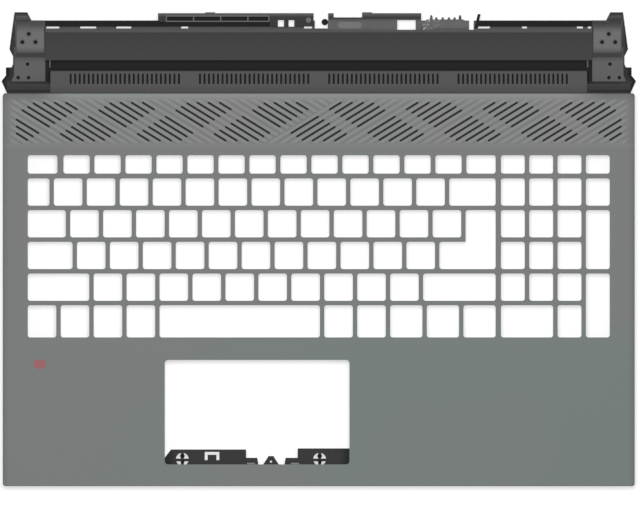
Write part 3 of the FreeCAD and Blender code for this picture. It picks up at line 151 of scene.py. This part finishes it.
def make_mould_grain():
    """Fine moulded texture: a height for the bump and a slight change of tone."""
    group, tree, given, wanted = new_group(
        "mould_grain",
        [("Vector", "NodeSocketVector", None), ("Size", "NodeSocketFloat", 0.0005),
         ("Contrast", "NodeSocketFloat", 0.06)],
        [("Height", "NodeSocketFloat"), ("Tone", "NodeSocketFloat")],
    )
    frequency = tree.math("DIVIDE", 1.0, given["Size"])
    fine = tree.noise(given["Vector"], frequency, 3.0, 0.6)
    coarse = tree.noise(given["Vector"], tree.math("MULTIPLY", frequency, 0.11), 2.0)
    tree.feed(wanted["Height"], tree.math("MULTIPLY_ADD", fine, 0.8))
    both = tree.math("ADD", tree.math("MULTIPLY", fine, 0.5), tree.math("MULTIPLY", coarse, 0.5))
    offset = tree.math("SUBTRACT", both, 0.5)
    tree.feed(wanted["Tone"], tree.math("ADD", 1.0, tree.math("MULTIPLY", offset, given["Contrast"])))
    return group


def make_hue_drift():
    """Broad soft patches that lean a colour towards a second one."""
    group, tree, given, wanted = new_group(
        "hue_drift",
        [("Vector", "NodeSocketVector", None), ("Size", "NodeSocketFloat", 0.06),
         ("First", "NodeSocketColor", None), ("Second", "NodeSocketColor", None)],
        [("Colour", "NodeSocketColor")],
    )
    patches = tree.noise(given["Vector"], tree.math("DIVIDE", 1.0, given["Size"]), 2.0, 0.45)
    tree.feed(wanted["Colour"], tree.mix(tree.ramp(patches, 0.38, 0.62), given["First"], given["Second"]))
    return group


GRAIN = make_mould_grain()
DRIFT = make_hue_drift()


class Finish(Tree):
    """One material under construction: its tree, its shader and the object's own coordinates."""

    def __init__(self, name, roughness=0.5):
        self.material = bpy.data.materials.new(name)
        self.material.use_nodes = True
        super().__init__(self.material.node_tree)
        self.tree.nodes.clear()
        output = self.tree.nodes.new("ShaderNodeOutputMaterial")
        self.shader = self.tree.nodes.new("ShaderNodeBsdfPrincipled")
        self.shader.inputs["Roughness"].default_value = roughness
        self.tree.links.new(self.shader.outputs[0], output.inputs["Surface"])
        self.place = self.add("TexCoord", out="Object")
        separate = self.tree.nodes.new("ShaderNodeSeparateXYZ")
        self.feed(separate.inputs[0], self.place)
        self.x, self.y, self.z = separate.outputs

    def group(self, group, inputs):
        node = self.tree.nodes.new("ShaderNodeGroup")
        node.node_tree = group
        for name, value in inputs.items():
            self.feed(node.inputs[name], value)
        return node.outputs

    def grain(self, size, contrast):
        return self.group(GRAIN, {"Vector": self.place, "Size": size, "Contrast": contrast})

    def set(self, **values):
        for name, value in values.items():
            self.feed(self.shader.inputs[name.replace("_", " ")], value)

    def bump(self, height, depth, strength=1.0):
        normal = self.add("Bump", {"Height": height, "Distance": depth, "Strength": strength})
        self.feed(self.shader.inputs["Normal"], normal)

    def band(self, value, low, high, edge):
        """1 where a coordinate lies between two limits, with soft edges."""
        rising = self.ramp(value, low - edge, low + edge)
        falling = self.ramp(value, high + edge, high - edge)
        return self.math("MULTIPLY", rising, falling)

    def facing_up(self, low=0.75, high=0.98):
        normal = self.add("NewGeometry", out="True Normal")
        separate = self.tree.nodes.new("ShaderNodeSeparateXYZ")
        self.feed(separate.inputs[0], normal)
        return self.ramp(separate.outputs[2], low, high)


def vent_stripes(f):
    """0 on the lines of the slanted vents and 1 midway between them, over the whole vent band."""
    pitch = VENT_PERIOD * math.sin(VENT_ANGLE) / STRIPES_PER_PERIOD
    turn_x = f.math("ADD", -10.3 * MM, f.math("MULTIPLY", f.math("SUBTRACT", f.y, VENT_TURN), 1.66))
    left = f.math("LESS_THAN", f.x, turn_x)
    lean = f.math("SUBTRACT", f.math("MULTIPLY", left, 2.0), 1.0)
    across = f.math("MULTIPLY", f.math("MULTIPLY", f.x, math.sin(VENT_ANGLE)), lean)
    along = f.math("MULTIPLY", f.math("SUBTRACT", f.y, VENT_LINE), math.cos(VENT_ANGLE))
    distance = f.math("ADD", f.math("ADD", across, along), 0.15 * MM)
    return f.ramp(f.math("PINGPONG", distance, pitch / 2), 0.2 * MM, pitch / 2 - 0.3 * MM)


def printed_bar(f):
    """1 inside the red bar: all points within a radius of a short line."""
    from_middle = f.math("ABSOLUTE", f.math("SUBTRACT", f.x, MARK_PLACE[0]))
    past_end = f.math("MAXIMUM", f.math("SUBTRACT", from_middle, MARK_HALF_LENGTH - MARK_RADIUS), 0.0)
    height = f.math("SUBTRACT", f.y, MARK_PLACE[1])
    squares = f.math("ADD", f.math("MULTIPLY", past_end, past_end), f.math("MULTIPLY", height, height))
    return f.ramp(f.math("SQRT", squares), MARK_RADIUS + 0.1 * MM, MARK_RADIUS - 0.1 * MM)


def deck_paint():
    """Satin grey paint with a green cast; embossed stripes run on between the slanted vents, with painted
    highlights on their ridges and the rear strip, painted tower shadow and painted edge shade.
    """
    f = Finish("deck_paint", roughness=0.56)
    green = f.group(DRIFT, {
        "Vector": f.place, "Size": 0.12, "First": srgb(120, 125, 123), "Second": srgb(117, 126, 123),
    })["Colour"]
    plain = f.group(DRIFT, {
        "Vector": f.place, "Size": 0.05, "First": srgb(123, 123, 123), "Second": srgb(120, 124, 123),
    })["Colour"]
    paint = f.mix(f.ramp(f.y, -60 * MM, -25 * MM), green, plain)
    grain = f.grain(0.35 * MM, 0.05)
    paint = f.scale(paint, grain["Tone"])

    stripes = vent_stripes(f)
    zone = f.math(
        "MULTIPLY",
        f.band(f.y, VENT_FRONT - 1.2 * MM, VENT_REAR + 1.5 * MM, 0.6 * MM),
        f.band(f.x, DECK_LOW.x + 4.5 * MM, DECK_HIGH.x - 4.5 * MM, 1.5 * MM),
    )
    # Painted light: the stripe ridges and the rear strip get painted highlights, the vent band between ridges is
    # slightly darker, a line in front of the vents slightly lighter, the rear strip's ends get painted shadow of
    # the hinge towers and the side edges painted shade.
    ridge = f.math("MULTIPLY", stripes, zone)
    painted_light = f.math("SUBTRACT", f.math("MULTIPLY", ridge, 0.34), f.math("MULTIPLY", zone, 0.05))
    rear = f.ramp(f.y, VENT_REAR - 1 * MM, DECK_REAR)
    painted_light = f.math("ADD", painted_light, f.math("MULTIPLY", rear, 0.42))
    front_line = f.band(f.y, VENT_FRONT - 3.4 * MM, VENT_FRONT - 1.2 * MM, 0.5 * MM)
    painted_light = f.math("ADD", painted_light, f.math("MULTIPLY", front_line, 0.07))
    tower_shadow = f.ramp(f.math("ABSOLUTE", f.x), 138 * MM, 164 * MM)
    painted_light = f.math("SUBTRACT", painted_light, f.math("MULTIPLY", f.math("MULTIPLY", rear, tower_shadow), 0.62))
    side_edge_shade = f.ramp(f.math("ABSOLUTE", f.x), DECK_HIGH.x - 4.0 * MM, DECK_HIGH.x - 0.5 * MM)
    painted_light = f.math("SUBTRACT", painted_light, f.math("MULTIPLY", side_edge_shade, 0.16))
    paint = f.scale(paint, f.math("ADD", 1.0, painted_light))
    paint = f.mix(f.math("MULTIPLY", printed_bar(f), 0.9), paint, srgb(163, 92, 98))

    inside = f.ramp(f.z, DECK_TOP - 1.0 * MM, DECK_TOP - 1.6 * MM)
    inside = f.math("MULTIPLY", inside, f.band(f.x, DECK_LOW.x + 0.8 * MM, DECK_HIGH.x - 0.8 * MM, 0.1 * MM))
    inside = f.math("MULTIPLY", inside, f.ramp(f.y, DECK_LOW.y + 0.7 * MM, DECK_LOW.y + 0.9 * MM))
    f.set(Base_Color=f.mix(inside, paint, srgb(60, 61, 61)), Specular_IOR_Level=0.25)
    height = f.math("ADD", f.math("MULTIPLY", grain["Height"], 0.12), ridge)
    f.bump(height, 0.08 * MM)
    return f.material


def shelf_plastic():
    """Dark grey moulding: a paler shelf, a channel painted near black as shadow and a darker panel with its lip.
    """
    f = Finish("shelf_plastic", roughness=0.6)
    grain = f.grain(0.6 * MM, 0.10)
    shelf_edge = DECK_REAR + SHELF_DEPTH
    panel_edge = shelf_edge + CHANNEL_WIDTH
    shelf = f.mix(f.ramp(f.y, DECK_REAR + 0.5 * MM, DECK_REAR + 6 * MM), srgb(76, 76, 77), srgb(84, 84, 84))
    top = f.ramp(f.z, 10.5 * MM, 11.5 * MM)
    # Painted shadow: the deep channel and the low floors in front of the lip are painted near black, darkest next
    # to the channel's walls.
    channel_shadow = f.mix(f.band(f.y, shelf_edge + 1.2 * MM, panel_edge - 1.4 * MM, 1.2 * MM),
                    srgb(12, 12, 13), srgb(22, 22, 23))
    colour = f.mix(f.ramp(f.y, shelf_edge - 0.2 * MM, shelf_edge + 0.1 * MM), f.mix(top, channel_shadow, shelf), channel_shadow)
    panel = f.mix(f.ramp(f.y, panel_edge + 1 * MM, LIP_FRONT), srgb(66, 66, 67), srgb(61, 61, 62))
    colour = f.mix(f.ramp(f.y, panel_edge - 0.1 * MM, panel_edge + 0.3 * MM), colour, panel)
    colour = f.mix(f.ramp(f.y, LIP_FRONT - 0.2 * MM, LIP_FRONT + 0.3 * MM), colour, srgb(82, 82, 83))
    low = f.mix(f.ramp(f.y, LIP_FRONT + 1.5 * MM, LIP_FRONT + 2.0 * MM), channel_shadow, srgb(98, 98, 98))
    colour = f.mix(f.ramp(f.z, 7.2 * MM, 6.6 * MM), colour, low)
    f.set(Base_Color=f.scale(colour, grain["Tone"]), Specular_IOR_Level=0.15)
    f.bump(grain["Height"], 0.02 * MM)
    return f.material


def tower_plastic():
    """Pads with up-facing tops painted paler as light and painted shade at the step and rear, on darker steep
    skirts, with a front wall in painted shade, bore floors painted black as shadow and a black foot.
    """
    f = Finish("tower_plastic", roughness=0.6)
    grain = f.grain(0.6 * MM, 0.12)
    behind = f.math("SUBTRACT", f.y, DECK_REAR)
    pad = f.mix(f.ramp(behind, 19 * MM, 25 * MM), srgb(98, 98, 98), srgb(112, 112, 112))
    # Painted shade at the step between the pads and over the rounded rear of the upper pad, deeper on the right
    # tower and eased at the very rear.
    shade = f.math("MULTIPLY", f.band(behind, 19.4 * MM, 24.6 * MM, 2.0 * MM), 0.4)
    deep = f.math("ADD", 0.60, f.math("MULTIPLY", f.math("GREATER_THAN", f.x, 0.0), 0.14))
    tail = f.math("MULTIPLY", f.ramp(behind, 33.5 * MM, 40.5 * MM), deep)
    peak = f.math("MULTIPLY", f.ramp(behind, 41.5 * MM, 44.5 * MM), 0.35)
    shade = f.math("SUBTRACT", f.math("ADD", shade, tail), peak)
    pad = f.scale(pad, f.math("SUBTRACT", 1.0, shade))
    # Painted shadow: the floors of the bores are painted near black.
    lower_bore_shadow = f.math("MULTIPLY", f.band(behind, 8 * MM, 19 * MM, 0.2 * MM), f.ramp(f.z, 5.8 * MM, 5.4 * MM))
    upper_bore_shadow = f.math("MULTIPLY", f.band(behind, 26 * MM, 37 * MM, 0.2 * MM), f.ramp(f.z, 8.0 * MM, 7.6 * MM))
    pad = f.mix(f.math("ADD", lower_bore_shadow, upper_bore_shadow, clamp=True), pad, srgb(14, 14, 14))
    skirt = f.mix(f.ramp(f.z, 2.8 * MM, 5.5 * MM), srgb(38, 38, 39), srgb(54, 54, 55))
    skirt = f.mix(f.ramp(f.z, 6.3 * MM, 6.6 * MM), skirt, srgb(80, 80, 81))
    # Painted light: up-facing faces take the paler pad colours, steeper faces the darker skirt colours.
    colour = f.mix(f.facing_up(), skirt, pad)
    # Painted shade: the front wall is darker, darkest next to the deck.
    front = f.ramp(behind, 7.2 * MM, 6.4 * MM)
    front_wall_shade = f.mix(f.ramp(behind, 3.6 * MM, 6.2 * MM), srgb(60, 60, 61), srgb(74, 74, 75))
    front_wall_shade = f.mix(f.ramp(behind, 2.6 * MM, 1.4 * MM), front_wall_shade, srgb(42, 42, 43))
    colour = f.mix(front, colour, front_wall_shade)
    colour = f.mix(f.ramp(f.z, 4.6 * MM, 3.0 * MM), colour, srgb(26, 26, 27))
    f.set(Base_Color=f.scale(colour, grain["Tone"]), Specular_IOR_Level=0.15)
    f.bump(grain["Height"], 0.025 * MM)
    return f.material


def smooth_plastic(name, colour, roughness, contrast=0.12):
    f = Finish(name, roughness)
    grain = f.grain(0.5 * MM, contrast)
    f.set(Base_Color=f.scale(colour, grain["Tone"]), Specular_IOR_Level=0.15)
    f.bump(grain["Height"], 0.015 * MM)
    return f.material


def bracket_paint():
    """Black painted sheet, darker towards its ends and pale on its highest faces."""
    f = Finish("bracket_paint", roughness=0.6)
    grain = f.grain(0.5 * MM, 0.12)
    middle = f.band(f.x, BRACKET_LOW.x + 6 * MM, BRACKET_HIGH.x - 5 * MM, 3 * MM)
    paint = f.mix(middle, srgb(32, 32, 33), srgb(52, 52, 53))
    colour = f.mix(f.ramp(f.z, BRACKET_HIGH.z - 0.2 * MM, BRACKET_HIGH.z - 0.1 * MM), paint, srgb(140, 140, 138))
    f.set(Base_Color=f.scale(colour, grain["Tone"]), Specular_IOR_Level=0.15)
    f.bump(grain["Height"], 0.015 * MM)
    return f.material


def port_plastic():
    """Black frames: a dull pale rear edge, pale rib tops, hollows in the left frame painted near black as shadow
    and a dish in the middle frame painted pale as a highlight.
    """
    f = Finish("port_plastic", roughness=0.6)
    grain = f.grain(0.6 * MM, 0.2)
    rear = f.ramp(f.y, DECK_REAR + 42.5 * MM, DECK_REAR + 45 * MM)
    body = f.mix(rear, srgb(52, 52, 53), srgb(90, 90, 90))
    front = f.ramp(f.y, DECK_REAR + 42.4 * MM, DECK_REAR + 41 * MM)
    right_frame = f.math("GREATER_THAN", f.x, 0.0)
    body = f.mix(f.math("MULTIPLY", right_frame, front), body, srgb(98, 98, 98))
    # Painted light below the rib level: painted shadow in the left frame's hollows, a painted highlight in the
    # middle frame's dish.
    hollow = f.ramp(f.z, 8.4 * MM, 7.6 * MM)
    body = f.mix(hollow, body, f.mix(right_frame, srgb(16, 16, 17), srgb(140, 140, 139)))
    knob = f.band(f.x, 0.0, CENTRE_LOW.x + 3.5 * MM, 0.1 * MM)
    body = f.mix(knob, body, srgb(14, 14, 15))
    colour = f.mix(f.ramp(f.z, 9.45 * MM, 9.65 * MM), body, srgb(112, 112, 112))
    f.set(Base_Color=f.scale(colour, grain["Tone"]), Specular_IOR_Level=0.15)
    f.bump(grain["Height"], 0.02 * MM)
    return f.material


def metal(name, colour, roughness, grain_size=0.0008):
    f = Finish(name, roughness)
    grain = f.grain(grain_size, 0.3)
    f.set(Base_Color=f.scale(colour, grain["Tone"]), Metallic=1.0)
    f.bump(grain["Height"], 0.01 * MM)
    return f.material


def worn_steel():
    """Dull spring steel with pale worn specks; the tall teeth are darker towards their tips."""
    f = Finish("spring_steel", roughness=0.5)
    grain = f.grain(1.1 * MM, 0.5)
    specks = f.ramp(f.noise(f.place, 900.0, 2.0), 0.56, 0.66)
    specks = f.math("MULTIPLY", specks, f.ramp(f.x, 72 * MM, 60 * MM))
    steel = f.mix(f.ramp(f.y, DECK_REAR + 41.2 * MM, DECK_REAR + 42.8 * MM), srgb(66, 66, 66), srgb(40, 40, 40))
    colour = f.mix(specks, f.scale(steel, grain["Tone"]), srgb(120, 120, 120))
    f.set(Base_Color=colour, Metallic=0.8)
    f.bump(grain["Height"], 0.03 * MM)
    return f.material


def woven_mesh():
    """Black dust mesh of fine woven threads."""
    f = Finish("woven_mesh", roughness=0.7)
    pitch = 0.7 * MM
    across = f.ramp(f.math("PINGPONG", f.x, pitch / 2), 0.05 * MM, 0.3 * MM)
    along = f.ramp(f.math("PINGPONG", f.y, pitch / 2), 0.05 * MM, 0.3 * MM)
    weave = f.math("MAXIMUM", across, along)
    deck_mesh = f.mix(weave, srgb(30, 30, 31), srgb(54, 54, 55))
    shelf_mesh = f.mix(weave, srgb(12, 12, 13), srgb(34, 34, 35))
    behind = f.math("GREATER_THAN", f.y, DECK_REAR)
    f.set(Base_Color=f.mix(behind, deck_mesh, shelf_mesh), Specular_IOR_Level=0.2)
    f.bump(weave, 0.1 * MM)
    return f.material


FINISHES = {
    "deck": deck_paint(),
    "rear_shelf": shelf_plastic(),
    "tower": tower_plastic(),
    "rail": smooth_plastic("black_plastic", srgb(18, 18, 19), 0.6),
    "port_frame": port_plastic(),
    "fingers": worn_steel(),
    "bracket": bracket_paint(),
    "mesh": woven_mesh(),
    "insert": metal("brass", srgb(205, 170, 105), 0.35),
    "hinge_insert": smooth_plastic("blackened_brass", srgb(96, 95, 93), 0.5),
    "screw": metal("black_steel", srgb(70, 70, 72), 0.35),
}


def dress_pieces():
    for subpart in frame["record"]["subparts"]:
        mesh = frame["nodes"][subpart["node"]].data
        mesh.materials.clear()
        mesh.materials.append(FINISHES[subpart["material_slot"]])


def finish_piece(piece, name, material):
    """Bakes a new piece's place into its mesh, dresses it and lets it ride with the case."""
    piece.name = name
    bpy.ops.object.transform_apply(location=True, rotation=True, scale=True)
    piece.data.materials.clear()
    piece.data.materials.append(material)
    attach(piece, "root")


def pick_faces(piece, wanted):
    """Leaves edit mode with only the wanted faces selected, and enters it again."""
    bpy.ops.object.mode_set(mode="OBJECT")
    for face in piece.data.polygons:
        face.select = wanted(face)
    bpy.ops.object.mode_set(mode="EDIT")


def bevel(piece, width, segments):
    modifier = piece.modifiers.new("bevel", "BEVEL")
    modifier.width = width
    modifier.segments = segments
    modifier.limit_method = "ANGLE"
    bpy.ops.object.modifier_apply(modifier="bevel")
    bpy.ops.object.shade_smooth_by_angle(angle=math.radians(35))


def make_eye_buttons():
    """Two rubber buttons on each of the bracket's barred holes, with a dimple on top."""
    rubber = smooth_plastic("black_rubber", srgb(16, 16, 17), 0.65)
    sheet_top = BRACKET_LOW.z + 1.0 * MM
    radius, height = 1.05 * MM, 0.9 * MM
    places = [(x, y) for x in EYE_MIDDLES for y in EYE_BUTTON_LINES]
    for number, (x, y) in enumerate(places):
        bpy.ops.object.select_all(action="DESELECT")
        bpy.ops.mesh.primitive_cylinder_add(
            vertices=24, radius=radius, depth=height, location=(x, y, sheet_top + height / 2 - 0.02 * MM)
        )
        button = bpy.context.object
        pick_faces(button, lambda face: face.normal.z > 0.9)
        bpy.ops.mesh.inset(thickness=0.45 * MM)
        bpy.ops.transform.translate(value=(0, 0, -0.25 * MM))
        bpy.ops.object.mode_set(mode="OBJECT")
        bevel(button, 0.18 * MM, 3)
        finish_piece(button, f"eye_button_{number + 1}", rubber)


def make_mesh_tape():
    """A strip of black tape that joins the two dust meshes below the middle of the deck."""
    low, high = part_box("vent_mesh_left")
    thickness, width = 0.15 * MM, 7.0 * MM
    bpy.ops.object.select_all(action="DESELECT")
    bpy.ops.mesh.primitive_cube_add(size=1, location=(0, (low.y + high.y) / 2, low.z - thickness / 2))
    tape = bpy.context.object
    tape.dimensions = (width, high.y - low.y - 1.6 * MM, thickness)
    bpy.ops.object.transform_apply(location=True, rotation=True, scale=True)
    bevel(tape, 0.05 * MM, 2)
    finish_piece(tape, "mesh_joint_tape", FINISHES["rail"])


def make_camera():
    data = bpy.data.cameras.new("camera")
    data.lens = LENS
    data.sensor_width = SENSOR
    data.clip_end = 100.0
    camera = bpy.data.objects.new("camera", data)
    bpy.context.scene.collection.objects.link(camera)
    height = DECK_TOP + PICTURE_WIDTH * LENS / SENSOR
    camera.location = (PICTURE_CENTRE[0], PICTURE_CENTRE[1], height)
    bpy.context.scene.camera = camera


def area_lamp(name, place, size, power, target=(0, 0, 0)):
    data = bpy.data.lights.new(name, "AREA")
    data.shape = "RECTANGLE"
    data.size, data.size_y = size
    data.energy = power
    lamp = bpy.data.objects.new(name, data)
    lamp.location = place
    lamp.rotation_euler = (Vector(target) - Vector(place)).to_track_quat("-Z", "Y").to_euler()
    lamp.visible_camera = False
    bpy.context.scene.collection.objects.link(lamp)


def camera_white(material, shader, strength):
    """Adds a glow that only the camera and mirror-like rays see, so that the floor looks white."""
    tree = material.node_tree
    path = tree.nodes.new("ShaderNodeLightPath")
    either = tree.nodes.new("ShaderNodeMath")
    either.operation = "MAXIMUM"
    tree.links.new(path.outputs["Is Camera Ray"], either.inputs[0])
    tree.links.new(path.outputs["Is Glossy Ray"], either.inputs[1])
    power = tree.nodes.new("ShaderNodeMath")
    power.operation = "MULTIPLY"
    power.inputs[1].default_value = strength
    tree.links.new(either.outputs[0], power.inputs[0])
    shader.inputs["Emission Color"].default_value = (1, 1, 1, 1)
    tree.links.new(power.outputs[0], shader.inputs["Emission Strength"])


def make_stage():
    bpy.ops.object.select_all(action="DESELECT")
    bpy.ops.mesh.primitive_plane_add(size=FLOOR_SIDE, location=(0, 0, 0))
    floor = bpy.context.object
    floor.name = "floor"
    finish = Finish("pale_floor", roughness=1.0)
    finish.set(Base_Color=(0.68, 0.68, 0.68, 1), Specular_IOR_Level=0.0)
    camera_white(finish.material, finish.shader, 0.52)
    floor.data.materials.append(finish.material)

    world = bpy.data.worlds.new("studio")
    bpy.context.scene.world = world
    world.use_nodes = True
    background = world.node_tree.nodes["Background"]
    path = world.node_tree.nodes.new("ShaderNodeLightPath")
    strength = world.node_tree.nodes.new("ShaderNodeMapRange")
    strength.inputs["To Min"].default_value = 0.30
    strength.inputs["To Max"].default_value = 1.0
    world.node_tree.links.new(path.outputs["Is Camera Ray"], strength.inputs["Value"])
    world.node_tree.links.new(strength.outputs[0], background.inputs["Strength"])
    background.inputs["Color"].default_value = (1, 1, 1, 1)
    area_lamp("softbox", (0.0, 0.2, 2.25), (0.6, 0.58), 30)


make_camera()
make_stage()
dress_pieces()
make_eye_buttons()
make_mesh_tape()

bpy.context.scene.view_settings.view_transform = "Standard"
